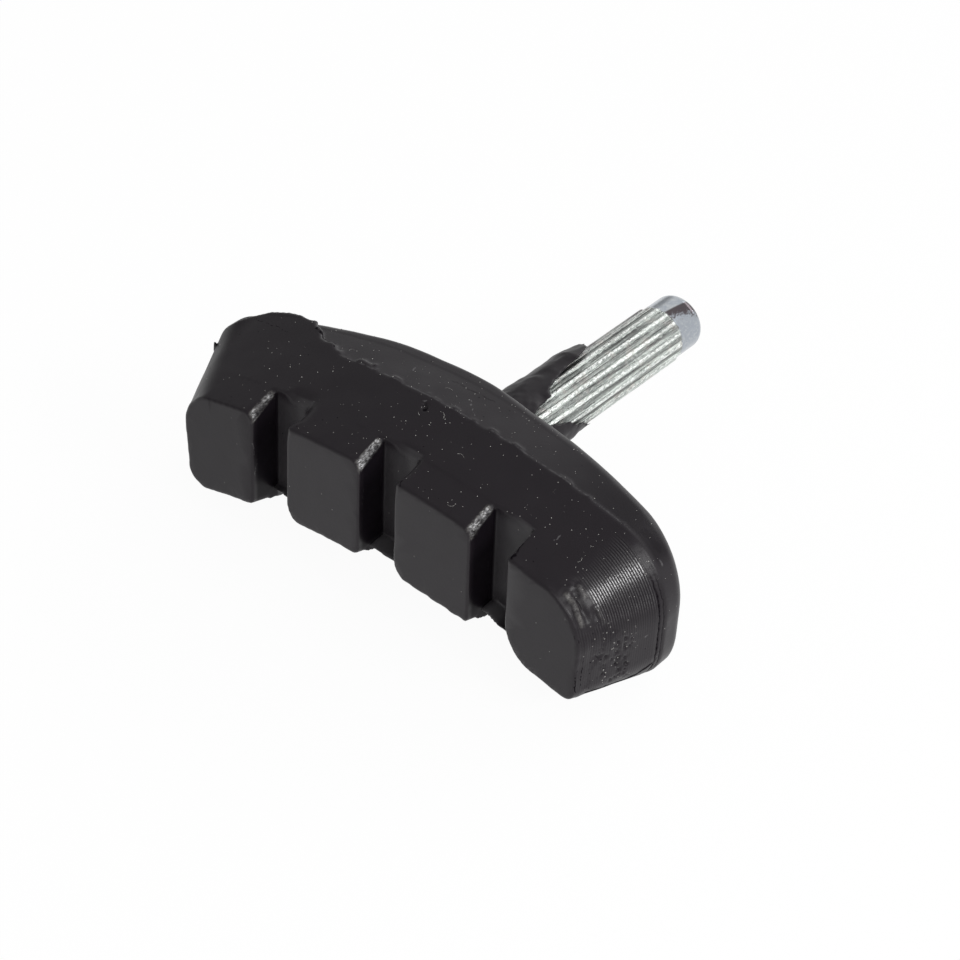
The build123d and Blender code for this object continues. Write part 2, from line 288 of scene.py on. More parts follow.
def with_pits(block, x, y, z):
    """The block with pits in its top and all over the middle of its right end."""
    draws = np.random.default_rng(PITS_SEED)
    pits = list(TOP_PITS)
    for _ in range(END_PITS):
        deep_at, high_at = draws.uniform(1.8, 6.4), draws.uniform(-6.8, -0.8)
        end_x = (FACE_LEN / 2 + END_LEAN * (high_at - END_MID_Z)
                 + (FRONT_DRAFT + RIGHT_EXTRA / FRONT_DEPTH) * deep_at)
        pits.append((end_x, deep_at, high_at, draws.uniform(0.14, 0.25)))
    for pit_x, pit_y, pit_z, size in pits:
        close = np.abs(x - pit_x) + np.abs(y - pit_y) + np.abs(z - pit_z) < 2
        gap = np.sqrt((x[close] - pit_x) ** 2 + (y[close] - pit_y) ** 2 + (z[close] - pit_z) ** 2)
        block[close] = np.maximum(block[close], size - gap)
    return block


def rubber_at(x, y, z):
    """Distance outside the rubber, and how scuffed it is there."""
    deep = np.minimum(y, FRONT_DEPTH)
    edge, top, bottom = outline(x, z, deep, deep)
    swell = bumps(x, y, z, SWELLS)
    lip = np.exp(-np.abs(y)) * bumps(x, y, z, LIP_BUMPS)
    under = ease(bottom, -1.2, -0.2) * np.maximum(bumps(x, y, z, UNDER_BUMPS) + 0.03, 0)
    edge = edge + swell + lip + under
    block = edge + BACK_DRAFT * np.maximum(y - FRONT_DEPTH, 0)
    at_right = ease(x, 25.5, 28)
    for seam in SEAMS_Y:
        block = block + SEAM_DEPTH * at_right * np.exp(-((y - seam) / SEAM_HALF_WIDTH) ** 2)
    back = np.hypot(x, y - BACK_Y + BACK_BOW) - BACK_BOW
    back_round = BACK_ROUNDS[0] + (BACK_ROUNDS[1] - BACK_ROUNDS[0]) * ease(x, -24, -8) * ease(x, 8, 0)
    block = rounded(block, back, back_round)
    block = np.minimum(block, flash_skin(x, y, z, deep, back, swell))
    block = np.minimum(block, near_line(x, y, z, NIB) - NIB_R - bumps(x, y, z, NIB_BUMPS))
    block = rounded(block, -y, FACE_EDGE_ROUND)
    block, scuff = with_grooves(block, x, y, z, top, bottom)
    block, scuff = with_chips(block, scuff, x, y, z)
    block = -blended(-block, -collar(x, y, z), COLLAR_BLEND)
    head_r, head_from, head_to = HEAD
    shank = np.maximum(np.hypot(x, z) - HOLE_R, head_from - y)
    head = np.maximum(np.hypot(x, z) - head_r, np.maximum(head_from - y, y - head_to))
    block = np.maximum(block, -np.minimum(shank, head))
    block = with_pits(block, x, y, z)
    for face in (-y, x - PAD_REACH[0], PAD_REACH[1] - x, z - PAD_REACH[2], PAD_REACH[3] - z):
        block = np.maximum(block, face)
    return block, scuff


def drawn_surface(field, low, high, step):
    """Mesh of the surface where the field is zero: its points in mm, and its four-sided faces."""
    counts = [int(math.ceil((b - a) / (step * COARSE))) * COARSE + 1 for a, b in zip(low, high)]
    fine = [a + step * np.arange(n) for a, n in zip(low, counts)]
    rough = np.meshgrid(*[line[::COARSE] for line in fine], indexing="ij")
    shape = rough[0].shape
    far = field(*[g.ravel() for g in rough])[0].reshape(shape)
    pick = np.ix_(*[(np.arange(n) + COARSE // 2) // COARSE for n in counts])
    values = far[pick].astype(np.float32)
    spots = np.nonzero(np.abs(values) < BAND)
    values[spots] = field(*[line[s] for line, s in zip(fine, spots)])[0]
    inside = values < 0
    corners = list(itertools.product((0, 1), repeat=3))
    size = [n - 1 for n in counts]

    def shifted(grid, by):
        """The part of a grid that holds one corner of every cell."""
        return grid[tuple(slice(s, s + n) for s, n in zip(by, size))]

    count = sum(shifted(inside, c).astype(np.int8) for c in corners)
    cells = np.nonzero((count > 0) & (count < 8))
    number = np.full(size, -1, np.int32)
    number[cells] = np.arange(len(cells[0]))
    at_corner = {c: values[tuple(i + s for i, s in zip(cells, c))] for c in corners}
    total = np.zeros((len(cells[0]), 3))
    hits = np.zeros(len(cells[0]))
    for a, b in itertools.combinations(corners, 2):
        if sum(abs(p - q) for p, q in zip(a, b)) != 1:
            continue
        cross = (at_corner[a] < 0) != (at_corner[b] < 0)
        share = at_corner[a][cross] / (at_corner[a][cross] - at_corner[b][cross])
        total[cross] += np.array(a) + share[:, None] * (np.array(b) - np.array(a))
        hits[cross] += 1
    points = np.array(low) + step * (np.array(cells).T + total / hits[:, None])
    faces = []
    for axis in range(3):
        one, two = (axis + 1) % 3, (axis + 2) % 3
        first = [slice(1, n) for n in size]
        first[axis] = slice(0, size[axis])
        second = list(first)
        second[axis] = slice(1, size[axis] + 1)
        start, end = inside[tuple(first)], inside[tuple(second)]
        for cross, turn in ((start & ~end, 1), (end & ~start, -1)):
            at = np.array(np.nonzero(cross))
            at[one] += 1
            at[two] += 1
            ring = []
            for back_one, back_two in ((0, 0), (1, 0), (1, 1), (0, 1))[::turn]:
                cell = at.copy()
                cell[one] -= back_one
                cell[two] -= back_two
                ring.append(number[tuple(cell)])
            faces.append(np.array(ring).T)
    return points, np.concatenate(faces)


PAD_TRIANGLES = 180000
PAD_BOX = ((-32.9, -0.6, -11.2), (31.5, 38.8, 11.6))

points, faces = drawn_surface(rubber_at, *PAD_BOX, GRID)
drawn = bpy.data.meshes.new("moulded_pad_drawn")
drawn.from_pydata(((points - (0, MOUNT_Y, 0)) * MM).tolist(), [], faces.tolist())
pad = bpy.data.objects.new("moulded_pad", drawn)
bpy.context.scene.collection.objects.link(pad)
thin = pad.modifiers.new("thin", "DECIMATE")
thin.ratio = min(1.0, PAD_TRIANGLES / (2 * len(faces)))
shaped = pad.evaluated_get(bpy.context.evaluated_depsgraph_get())
pad_mesh = bpy.data.meshes.new_from_object(shaped)
pad.modifiers.remove(thin)
pad.data = pad_mesh
pad_mesh.name = "moulded_pad"
bpy.data.meshes.remove(drawn)
places = np.zeros(len(pad_mesh.vertices) * 3)
pad_mesh.vertices.foreach_get("co", places)
places = places.reshape(-1, 3) / MM + (0, MOUNT_Y, 0)
scuffs = rubber_at(*places.T)[1]
pad_mesh.attributes.new("scuff", "FLOAT", "POINT").data.foreach_set("value", scuffs.astype(np.float32))
pad_mesh.polygons.foreach_set("use_smooth", [True] * len(pad_mesh.polygons))

RUBBER_BLACK = (0.0098, 0.0072, 0.0100, 1)
RUBBER_PALE = (0.075, 0.072, 0.076, 1)
RUBBER_RUBBED = (0.125, 0.12, 0.115, 1)
RUBBER_SCUFFED = (0.85, 0.85, 0.86, 1)
RUBBER_DUST = (0.42, 0.41, 0.39, 1)
RUBBER_SHADE_AND_STAIN = (0.004, 0.003, 0.0045, 1)
TOOL_PITCH_MM = 0.274
GROOVE_LOWS = (-5.4, -3.8, -4.4)
GROOVE_TOPS = (7.75, 9.25, 8.47)
SEAM_WIDTHS = (0.17, 0.1)
SEAM_DARKS = (0.95, 0.6)
CREASE_DARK = 0.9
STAIN_DARK = 0.27
LINE_DARK = 0.45
CREASES = (((17.5, 3.6, 7.75), (18.2, 0.2, 6.6), 0.22), ((2.35, 3.9, 9.25), (2.5, 2.5, 8.85), 0.1),
           ((2.5, 2.5, 8.85), (3.2, -0.1, 8.05), 0.08), ((-28.6, 11.6, 7.6), (-25.6, 11.5, 8.3), 0.06),
           ((-25.6, 11.5, 8.3), (-22.5, 11.2, 9.0), 0.07), ((25.3, 1.7, 4.9), (27.0, 1.6, 3.0), 0.1),
           ((27.25, 0.2, 1.0), (27.2, 0.3, -6.2), 0.09), ((27.6, 0.75, -0.3), (27.4, 0.8, -6.0), 0.08),
           ((-20.2, 12.8, 9.9), (-18.4, 12.4, 9.6), 0.24), ((-18.4, 12.4, 9.6), (-16.3, 11.5, 10.05), 0.14),
           ((-1.7, 9.4, 10.9), (-1.2, 9.0, 10.8), 0.34), ((27.5, 1.7, -7.0), (28.0, 3.8, -7.4), 0.4),
           ((28.0, 3.8, -7.4), (28.5, 6.3, -7.8), 0.55), ((28.5, 6.3, -7.8), (29.3, 7.9, -7.45), 0.5),
           ((29.3, 7.9, -7.45), (30.1, 9.1, -6.3), 0.4))
STAINS = (((28.2, 3.2, 2.1), (28.5, 3.1, -0.6), 0.75), ((28.6, 3.8, 0.6), (28.6, 4.0, -1.2), 0.4),
          ((29.1, 5.5, -4.6), (29.0, 5.4, -5.2), 0.9), ((-2.4, 14.37, 11.05), (3.6, 14.6, 11.06), 0.16))
THREADS = (((-17.79, 0.1, 2.5), (-17.75, 0.67, 0.0), 0.1), ((-17.75, 0.67, 0.0), (-17.75, 0.42, -1.9), 0.09),
           ((-2.5, 0.75, 4.3), (-2.49, 0.46, 2.2), 0.08), ((-2.2, 9.6, 11.0), (-1.9, 9.9, 11.05), 0.12),
           ((20.3, 4.6, 7.5), (20.4, 5.5, 7.7), 0.13), ((28.6, 11.3, 5.6), (28.8, 11.4, 5.0), 0.2),
           ((-6.47, 13.05, 10.89), (-6.7, 14.1, 10.85), 0.12), ((1.3, 13.3, 11.1), (2.5, 12.2, 11.1), 0.11),
           ((2.5, 12.2, 11.1), (4.1, 10.8, 11.17), 0.11), ((30.06, 8.06, -1.93), (30.2, 8.53, -1.73), 0.12))
SMUDGE = ((26.2, 11.8, 7.6), (27.9, 12.1, 6.3))


class Finish:
    """One socket of a finish, so that a pattern is written as sums."""

    def __init__(self, tree, socket=None):
        self.tree = tree
        self.socket = socket

    def node(self, kind, settings, sockets, out=0):
        """A new node with its settings and its input sockets filled, as one of its outputs."""
        made = self.tree.nodes.new(kind)
        for name, value in settings.items():
            setattr(made, name, value)
        for name, value in sockets.items():
            if isinstance(value, Finish):
                self.tree.links.new(value.socket, made.inputs[name])
            else:
                made.inputs[name].default_value = value
        return Finish(self.tree, made.outputs[out] if made.outputs else None)

    def sum(self, operation, first, second=0.0):
        return self.node("ShaderNodeMath", {"operation": operation}, {0: first, 1: second})

    def __add__(self, other):
        return self.sum("ADD", self, other)

    __radd__ = __add__

    def __sub__(self, other):
        return self.sum("SUBTRACT", self, other)

    def __rsub__(self, other):
        return self.sum("SUBTRACT", other, self)

    def __mul__(self, other):
        return self.sum("MULTIPLY", self, other)

    def __truediv__(self, other):
        return self.sum("DIVIDE", self, other)

    def __abs__(self):
        return self.sum("ABSOLUTE", self)

    def wave(self):
        return self.sum("SINE", self)

    def larger(self, other):
        return self.sum("MAXIMUM", self, other)

    def smaller(self, other):
        return self.sum("MINIMUM", self, other)

    def rise(self, low, high):
        """0 below low, 1 above high, smooth between them; falls where low is the larger."""
        return self.node("ShaderNodeMapRange", {"interpolation_type": "SMOOTHSTEP"},
                         {"Value": self, "From Min": low, "From Max": high})

    def stretched(self, by):
        """This place with each coordinate multiplied, to draw a pattern out."""
        return self.node("ShaderNodeVectorMath", {"operation": "MULTIPLY"}, {0: self, 1: by})

    def noise(self, scale, detail=2.0, rough=0.5):
        return self.node("ShaderNodeTexNoise", {},
                         {"Vector": self, "Scale": scale, "Detail": detail, "Roughness": rough})

    def specks(self, scale, size, share):
        """Round specks of the given size in a share of the cells, 1 inside and 0 outside."""
        cell = self.node("ShaderNodeTexVoronoi", {}, {"Vector": self, "Scale": scale}, "Distance")
        pick = self.node("ShaderNodeTexVoronoi", {}, {"Vector": self, "Scale": scale}, "Color")
        chance = self.node("ShaderNodeSeparateColor", {}, {"Color": pick}, "Red")
        return cell.rise(size, size * 0.6) * chance.rise(share + 0.002, share - 0.002)

    def gap(self, start, end):
        """Distance of this place from the straight line between two places."""
        run = [b - a for a, b in zip(start, end)]
        square = sum(r * r for r in run)
        out = self.node("ShaderNodeVectorMath", {"operation": "SUBTRACT"}, {0: self, 1: start})
        share = self.node("ShaderNodeVectorMath", {"operation": "DOT_PRODUCT"},
                          {0: out, 1: [r / square for r in run]}, "Value").larger(0.0).smaller(1.0)
        foot = self.node("ShaderNodeVectorMath", {"operation": "SCALE"}, {0: run, "Scale": share})
        return self.node("ShaderNodeVectorMath", {"operation": "DISTANCE"}, {0: out, 1: foot}, "Value")

    def mixed(self, first, second):
        """The first colour where this is 0, the second where it is 1."""
        return self.node("ShaderNodeMix", {"data_type": "RGBA"}, {0: self, 6: first, 7: second}, 2)


def new_finish(name, level):
    """A material with a bare shader, and its Object coordinates in millimetres."""
    material = bpy.data.materials.new(name)
    material.use_nodes = True
    tree = material.node_tree
    shader = tree.nodes["Principled BSDF"]
    for socket, value in level.items():
        shader.inputs[socket].default_value = value
    start = Finish(tree)
    place = start.node("ShaderNodeTexCoord", {}, {}, "Object")
    place = start.node("ShaderNodeVectorMath", {"operation": "SCALE"}, {0: place, "Scale": 1 / MM})
    return material, shader, place


def axes(place):
    """The three coordinates of a place."""
    return [place.node("ShaderNodeSeparateXYZ", {}, {0: place}, axis) for axis in "XYZ"]


def feed(node, name, value):
    """Links a pattern to one input socket of a node."""
    value.tree.links.new(value.socket, node.inputs[name])


rubber, skin, place = new_finish("moulded_rubber", {"IOR": 1.37, "Coat IOR": 1.7, "Coat Roughness": 0.21})
place = place.node("ShaderNodeVectorMath", {"operation": "ADD"}, {0: place, 1: (0, MOUNT_Y, 0)})
along, depth, height = axes(place)
bare = place.node("ShaderNodeAttribute", {"attribute_name": "scuff"}, {}, "Fac")
mottle = place.noise(0.35, 4.0)
grain = place.noise(7.0, 3.0)
fine_grain = place.noise(2.2, 5.0, 0.65)
flakes = place.stretched((1.0, 0.4, 1.0)).noise(4.6, 7.0, 0.75)
patches = place.noise(1.1, 2.0)

# Grit, the tooled and the worn parts of the right end, and a place that wavers for drawn marks
dirt = place.specks(2.6, 0.17, 0.02).larger(place.specks(1.3, 0.1, 0.03))
dirt = dirt.larger(place.specks(0.55, 0.05, 0.04))
worn_end = along.rise(25.5, 27.0) * depth.rise(1.0, 1.8) * depth.rise(8.0, 5.5) * height.rise(3.5, 0.0)
dirt = dirt.larger(worn_end * patches.rise(0.38, 0.48) * place.specks(2.4, 0.25, 0.42))
whole_end = depth.rise(0.2, 0.6) * depth.rise(FRONT_DEPTH - 0.9, FRONT_DEPTH - 1.2)
chipped = place.gap(*TORN_GAP).rise(1.9, 1.1)
tooled = along.rise(24.0, 26.0) * whole_end * (1.0 - chipped)
lines = (depth * (2 * math.pi / TOOL_PITCH_MM) + mottle * 2.0).wave()
wobble = place.node("ShaderNodeTexNoise", {}, {"Vector": place, "Scale": 1.1, "Detail": 3.0}, "Color")
wobble = place.node("ShaderNodeVectorMath", {"operation": "MULTIPLY_ADD"},
                    {0: wobble, 1: (0.9, 0.9, 0.9), 2: place})
wobble = place.node("ShaderNodeVectorMath", {"operation": "SUBTRACT"}, {0: wobble, 1: (0.45, 0.45, 0.45)})

# Paler rubber: painted light on the groove floors, kept off their upper left, and on the shelves; threads of
# flash; and the bead on the parting line
pale = along * 0.0
for at, (shelf_y, _), low_z, high_z in zip(GROOVES_X, SHELVES, GROOVE_LOWS, GROOVE_TOPS):
    inside = (along - at + GROOVE_WIDTH / 2).rise(-0.05, 0.2)
    inside = inside * (at + GROOVE_WIDTH / 2 - along).rise(-0.3, 0.1)
    floor = depth.rise(GROOVE_DEPTH - 0.5, GROOVE_DEPTH - 0.1) * (depth - GROOVE_DEPTH).rise(0.7, 0.4)
    floor = floor * height.rise(high_z - 0.2, high_z - 1.6).larger((along - at).rise(-0.8, 1.4))
    shelf = depth.rise(shelf_y - 0.4, shelf_y) * abs(height - low_z).rise(0.6, 0.25)
    hollow = inside * (floor * 0.33).larger(shelf * 0.8) * (GROOVE_DEPTH + 0.7 - depth).rise(0.0, 0.3)
    pale = pale.larger(hollow)
for start, end, width in THREADS:
    pale = pale.larger(wobble.gap(start, end).rise(width, width * 0.4) * flakes.rise(0.35, 0.5))
bead = abs(depth - (FRONT_DEPTH + 0.12) - mottle * 0.3).rise(0.16, 0.04)
bead = bead * along.rise(-16.0, -13.0) * along.rise(26.0, 24.0)
pale = pale.larger(bead * fine_grain.rise(0.4, 0.6) * height.rise(6.0, 7.0) * 0.5)

# Scuffed rubber: rubbed grey, and torn to bright flakes where it is worn most
rubbed = (bare.smaller(0.3) / 0.3) * fine_grain.rise(0.3, 0.65) * (0.45 + bare.rise(0.5, 0.35) * 0.55)
torn = (bare + (fine_grain - 0.5) * 0.9).rise(0.3, 0.6) * bare * flakes.rise(0.42, 0.6)
torn = torn * (0.22 + patches.rise(0.4, 0.62) * 0.78)
tone = pale.mixed(RUBBER_BLACK, RUBBER_PALE)
tone = rubbed.mixed(tone, RUBBER_RUBBED)
tone = torn.mixed(tone, RUBBER_SCUFFED)
feed(skin, "Base Color", (dirt * 0.6).mixed(tone, RUBBER_DUST))
feed(skin, "Roughness", 0.33 + mottle * 0.12 + dirt * 0.3)
feed(skin, "Coat Weight", tooled * lines.rise(-0.3, 0.9) * height.rise(1.0, 2.5) * grain.rise(0.3, 0.6))
relief = lines * tooled * (0.003 + height.rise(-3.0, 4.0) * 0.008)
relief = relief + grain * 0.006 + fine_grain * 0.008 + flakes * bare * 0.15
feed(skin, "Normal", place.node("ShaderNodeBump", {}, {"Strength": 1.0, "Distance": MM, "Height": relief}))

# Darkened rubber: a smudge, seams, stains, dark specks and patches, and painted shade on the left end, the
# friction face towards the left, creases, the back's crest and right top, and the collar
dark = wobble.gap(*SMUDGE).rise(1.1, 0.3) * 0.55
# Painted shade on the left end, and on the friction face growing towards the left
dark = dark.larger(along.rise(-27.5, -30.5) * depth.rise(0.4, 1.2) * 0.4)
dark = dark.larger(along.rise(-8.0, -24.0) * depth.rise(0.3, 0.05) * 0.14)
# Painted shade in the creases
for start, end, width in CREASES:
    dark = dark.larger(wobble.gap(start, end).rise(width, width * 0.4) * CREASE_DARK)
wavering = axes(wobble)[1]
for seam, width, darkest in zip(SEAMS_Y, SEAM_WIDTHS, SEAM_DARKS):
    line = along.rise(28.2, 29.0) * abs(wavering * 0.45 + depth * 0.55 - seam).rise(width, width / 3)
    line = line * height.rise(6.5, 3.0) * (0.5 + fine_grain.rise(0.35, 0.6) * 0.5) * darkest
    dark = dark.larger(line)
# Painted shade: a dark line along the back's crest, a darker top of the back half on the right, and a darker
# collar
crest = depth - BACK_Y + along * along / (2 * BACK_BOW)
dark = dark.larger(abs(crest + 1.5 + mottle * 0.3).rise(0.35, 0.05) * height.rise(5.0, 6.0) * 0.16)
shaded = along.rise(9.0, 24.0) * depth.rise(FRONT_DEPTH + 0.2, FRONT_DEPTH + 0.8) * height.rise(4.5, 6.0)
dark = dark.larger(shaded * crest.rise(-0.7, -1.5) * 0.45)
dark = dark.larger(depth.rise(BACK_Y + 0.3, BACK_Y + 1.0) * 0.2)
for start, end, width in STAINS:
    dark = dark.larger(wobble.gap(start, end).rise(width, width * 0.3) * STAIN_DARK)
dark = dark.larger(place.specks(1.6, 0.16, 0.05) * depth.rise(0.3, 0.6) * 0.6)
spoiled = (patches.rise(0.5, 0.68) * 0.28).larger(place.specks(1.8, 0.22, 0.22) * 0.75)
dark = dark.larger(worn_end * spoiled)

# Painted shade on the groove walls and in their inner corners, and in the hollows between the tool lines
for at, low_z, high_z in zip(GROOVES_X, GROOVE_LOWS, GROOVE_TOPS):
    off_wall = along - (at - GROOVE_WIDTH / 2)
    off_floor = depth - GROOVE_DEPTH
    corner = (off_wall * off_wall + off_floor * off_floor).rise(0.07, 0.015)
    corner = corner * height.rise(low_z, low_z + 0.25)
    wall = abs(off_wall).rise(0.3, 0.15) * depth.rise(0.3, 1.0)
    wall = wall * depth.rise(GROOVE_DEPTH + 0.2, GROOVE_DEPTH)
    dark = dark.larger((corner * 0.9).larger(wall * 0.55) * height.rise(high_z - 0.1, high_z - 0.6))
dark = dark.larger(tooled * lines.rise(0.3, -0.8) * height.rise(-2.0, 4.0) * LINE_DARK)
# A flat near-black that carries the painted shade, and the smudge, seams, stains and dark specks
shade_and_stain = place.node("ShaderNodeBsdfDiffuse", {}, {"Color": RUBBER_SHADE_AND_STAIN})
bright = Finish(rubber.node_tree, skin.outputs[0])
whole = place.node("ShaderNodeMixShader", {}, {0: dark, 1: bright, 2: shade_and_stain})
feed(rubber.node_tree.nodes["Material Output"], "Surface", whole)

pad_mesh.materials.append(rubber)
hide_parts("rubber_pad")
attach(pad, "root")

# Dust: crumbs of grit and short fibres that have settled on the upward faces of the rubber.
# They cling to it, thicker towards the right, and are strewn over the pad's own surface.
DUST_DARK = (0.22, 0.21, 0.20, 1)
DUST_PALE = (0.62, 0.61, 0.58, 1)
CRUMBS_PER_M2 = 330000.0
FIBRES_PER_M2 = 12000.0
CRUMB_SMALLEST = 0.000014
CRUMB_LARGEST = 0.000058
FIBRE_R = 0.000011
FIBRE_CURL_R = 0.0005
FIBRE_CURL = 1.6
FIBRE_SIZES = (0.5, 1.3)
LEAST_UPWARD = 0.3
LOWEST_DUST = 0.0035
DUST_FROM_Y = 0.6
PATCHES_PER_M = 160.0
DUST_SEED = 7

grit, flat, place = new_finish("settled_dust", {"Roughness": 0.9})
feed(flat, "Base Color", place.noise(3.0, 2.0).rise(0.3, 0.7).mixed(DUST_DARK, DUST_PALE))

strewn = bpy.data.node_groups.new("strewn_dust", "GeometryNodeTree")
strewn.interface.new_socket("Surface", in_out="INPUT", socket_type="NodeSocketGeometry")
wanted = {"Crumbs": CRUMBS_PER_M2, "Fibres": FIBRES_PER_M2, "Smallest": CRUMB_SMALLEST,
          "Largest": CRUMB_LARGEST, "Lowest": LOWEST_DUST}
for name in wanted:
    strewn.interface.new_socket(name, in_out="INPUT", socket_type="NodeSocketFloat")
strewn.interface.new_socket("Dust", in_out="OUTPUT", socket_type="NodeSocketGeometry")
tools = Finish(strewn)
entry = strewn.nodes.new("NodeGroupInput")
given = {socket.name: Finish(strewn, socket) for socket in entry.outputs if socket.name}
spot = tools.node("GeometryNodeInputPosition", {}, {})
facing = axes(tools.node("GeometryNodeInputNormal", {}, {}))[2]
catching = facing.sum("GREATER_THAN", facing, LEAST_UPWARD)
catching = catching * facing.sum("GREATER_THAN", axes(spot)[2], given["Lowest"])
behind = facing.sum("GREATER_THAN", axes(spot)[1], (DUST_FROM_Y - MOUNT_Y) * MM)
behind = behind * facing.sum("LESS_THAN", axes(spot)[1], (BACK_Y - MOUNT_Y) * MM)
thickness = tools.node("ShaderNodeTexNoise", {}, {"Vector": spot, "Scale": PATCHES_PER_M, "Detail": 2.0})
thickness = 0.25 + thickness.rise(0.35, 0.65)
thickness = thickness * (0.6 + axes(spot)[0].rise(-0.026, -0.006) * 1.2)


def random_value(low, high, seed):
    """A random number for each point, between two values."""
    sockets = {2: low, 3: high, "Seed": seed}
    return tools.node("FunctionNodeRandomValue", {"data_type": "FLOAT"}, sockets, 1)


heaps = []
for name, seed in (("Crumbs", DUST_SEED), ("Fibres", DUST_SEED + 1)):
    strew = strewn.nodes.new("GeometryNodeDistributePointsOnFaces")
    strew.inputs["Seed"].default_value = seed
    feed(strew, "Mesh", given["Surface"])
    feed(strew, "Selection", catching * behind)
    feed(strew, "Density", given[name] * thickness)
    if name == "Crumbs":
        shape = tools.node("GeometryNodeMeshIcoSphere", {}, {"Radius": 1.0, "Subdivisions": 1})
        size = random_value(given["Smallest"], given["Largest"], seed)
    else:
        curl = tools.node("GeometryNodeCurveArc", {},
                          {"Resolution": 6, "Radius": FIBRE_CURL_R, "Sweep Angle": FIBRE_CURL})
        ring = tools.node("GeometryNodeCurvePrimitiveCircle", {}, {"Resolution": 4, "Radius": FIBRE_R})
        shape = tools.node("GeometryNodeCurveToMesh", {},
                           {"Curve": curl, "Profile Curve": ring, "Fill Caps": True})
        size = random_value(*FIBRE_SIZES, seed)
    spin = tools.node("ShaderNodeCombineXYZ", {}, {"Z": random_value(0.0, 6.28, seed + 10)})
    lay = tools.node("FunctionNodeRotateRotation", {"rotation_space": "LOCAL"},
                     {"Rotation": Finish(strewn, strew.outputs["Rotation"]), "Rotate By": spin})
    points = Finish(strewn, strew.outputs["Points"])
    heaps.append(tools.node("GeometryNodeInstanceOnPoints", {},
                            {"Points": points, "Instance": shape, "Rotation": lay, "Scale": size}))
joined = strewn.nodes.new("GeometryNodeJoinGeometry")
for heap in heaps:
    strewn.links.new(heap.socket, joined.inputs[0])
real = tools.node("GeometryNodeRealizeInstances", {}, {"Geometry": Finish(strewn, joined.outputs[0])})
coated = tools.node("GeometryNodeSetMaterial", {}, {"Geometry": real, "Material": grit})
leave = strewn.nodes.new("NodeGroupOutput")
strewn.links.new(coated.socket, leave.inputs[0])

dust = bpy.data.objects.new("settled_dust", pad_mesh)
bpy.context.scene.collection.objects.link(dust)
sprinkle = dust.modifiers.new("sprinkle", "NODES")
sprinkle.node_group = strewn
for item in strewn.interface.items_tree:
    if item.in_out == "INPUT" and item.name in wanted:
        sprinkle[item.identifier] = wanted[item.name]
shaped = dust.evaluated_get(bpy.context.evaluated_depsgraph_get())
settled = bpy.data.meshes.new_from_object(shaped)
dust.modifiers.remove(sprinkle)
dust.data = settled
settled.name = "settled_dust"
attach(dust, "root")

# Steel post: a headed pin, zinc plated after its ridges were rolled, with a plain rounded tip.
# Its head is moulded into the rubber, which holds it.
ZINC_HIGHLIGHT = (0.94, 0.97, 0.94, 1)
ZINC_LIGHT = (0.70, 0.75, 0.71, 1)
ZINC_GREY = (0.27, 0.29, 0.28, 1)
ZINC_WARM = (0.56, 0.52, 0.49, 1)
ZINC_DARK = (0.06, 0.057, 0.058, 1)
ZINC_LEFT_SHADE = (0.15, 0.13, 0.14, 1)
ZINC_TIP = (0.38, 0.41, 0.45, 1)
ZINC_TIP_PALE_AND_HIGHLIGHT = (0.52, 0.54, 0.55, 1)
ZINC_PITS_AND_DARK_REFLECTION = (0.075, 0.06, 0.065, 1)
RIDGES_END = -1.48
RIDGE_COUNT = 16
RIDGE_TURN = math.radians(6.2)

zinc, plate, place = new_finish("zinc_plated_steel", {"Metallic": 1.0})
across, depth, height = axes(place)
drawn_out = place.stretched((1.0, 0.03, 1.0))
streaks = drawn_out.noise(2.6, 4.0, 0.7)
threads = drawn_out.noise(6.0, 3.0, 0.65)
cloud = place.noise(0.8, 3.0)
etch = place.stretched((1.0, 0.55, 1.0)).noise(3.6, 4.0, 0.75)
pits = place.specks(2.2, 0.25, 0.06)

# The ridged length: grey and pale streaks, dark threads, painted shade in the valleys, and painted
# highlights on the crests
plain = (depth + (streaks - 0.5) * 0.8).rise(RIDGES_END - 0.15, RIDGES_END + 0.1)
round_post = (across.sum("ARCTAN2", height, across) - RIDGE_TURN) * RIDGE_COUNT
on_ridge = across.sum("COSINE", round_post) + (streaks - 0.5) * 1.0 + (etch - 0.5) * 2.2
flank = round_post.wave()
# Painted shade in the valleys, deeper on one flank of each ridge
valley_shade = on_ridge.rise(-0.1, -0.6) * (0.62 - flank * 0.36) * (0.45 + threads.rise(0.6, 0.42) * 0.55)
thread = threads.rise(0.47, 0.39) * (0.4 + on_ridge.rise(1.1, 0.4) * 0.6) * (0.4 + etch.rise(0.4, 0.6) * 0.6)
ridged = (streaks.rise(0.38, 0.62) * 0.7 + etch.rise(0.4, 0.65) * 0.3).mixed(ZINC_GREY, ZINC_LIGHT)
ridged = (cloud.rise(0.5, 0.68) * 0.5).mixed(ridged, ZINC_WARM)
ridged = valley_shade.larger(thread).mixed(ridged, ZINC_DARK)
# Painted highlight along the crests, in patches
crest_highlight = on_ridge.rise(0.5, 1.0) * (0.15 + etch.rise(0.4, 0.56) * 0.75) * (1.0 - thread)
ridged = crest_highlight.mixed(ridged, ZINC_HIGHLIGHT)
# Painted shade down the post's left side, broken by streaks
ridged = (across.rise(-0.6, -2.4) * (0.3 + streaks.rise(0.6, 0.4) * 0.55)).mixed(ridged, ZINC_LEFT_SHADE)
# Painted glints of highlight on the etched plating
ridged = (etch.rise(0.58, 0.68) * 0.35).mixed(ridged, ZINC_HIGHLIGHT)
ridged = (pits * 0.8).mixed(ridged, ZINC_PITS_AND_DARK_REFLECTION)

